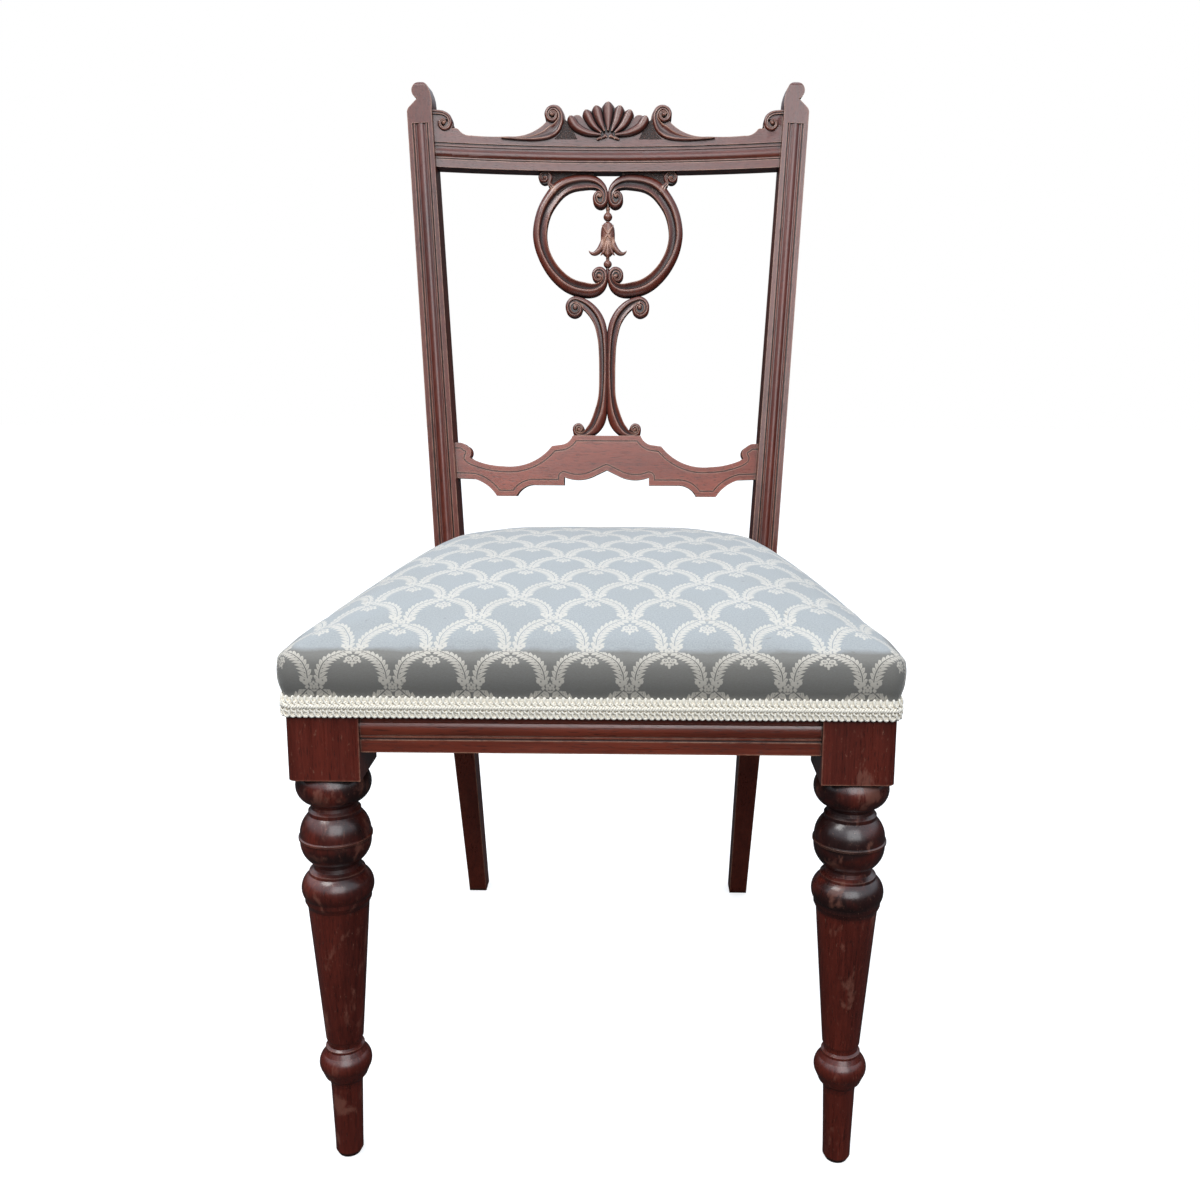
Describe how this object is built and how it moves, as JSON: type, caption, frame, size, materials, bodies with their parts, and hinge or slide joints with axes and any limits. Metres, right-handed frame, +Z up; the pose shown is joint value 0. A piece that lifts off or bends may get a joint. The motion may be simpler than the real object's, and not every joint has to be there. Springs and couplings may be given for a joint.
{
  "type": "dining chair",
  "caption": "Edwardian mahogany dining side chair with turned front legs, a carved crest, a pierced scroll splat and a stuffed-over patterned seat.",
  "frame": {"origin": "middle of the bounding box on the floor", "axes": "+Z up from the floor, +X to the sitter's left as seen from in front, +Y from front to back"},
  "size_m": [0.4712, 0.5406, 0.9335],
  "materials": {
    "mahogany": "satin",
    "beech": "matte",
    "steel": "satin",
    "blued_steel": "satin",
    "webbing": "matte",
    "hessian": "matte",
    "hair_stuffing": "matte",
    "woven_cover": "matte",
    "gimp": "matte"
  },
  "bodies": {
    "root": {"back_splat": "mahogany", "corner_block_screws": "steel", "crest_rail": "mahogany", "cross_webbing_straps": "webbing", "front_corner_block_left": "beech", "front_corner_block_right": "beech", "front_leg_left": "mahogany", "front_leg_right": "mahogany", "front_rail_dowels": "beech", "front_seat_rail": "mahogany", "gimp_braid": "gimp", "hessian_base_cloth": "hessian", "long_webbing_straps": "webbing", "lower_back_rail": "mahogany", "rear_corner_block_left": "beech", "rear_corner_block_right": "beech", "rear_leg_left": "mahogany", "rear_leg_right": "mahogany", "rear_rail_dowels": "beech", "rear_seat_rail": "mahogany", "seat_cover": "woven_cover", "seat_stuffing": "hair_stuffing", "side_rail_dowels": "beech", "side_seat_rail_left": "mahogany", "side_seat_rail_right": "mahogany", "webbing_tacks": "blued_steel"}
  },
  "joints": []
}
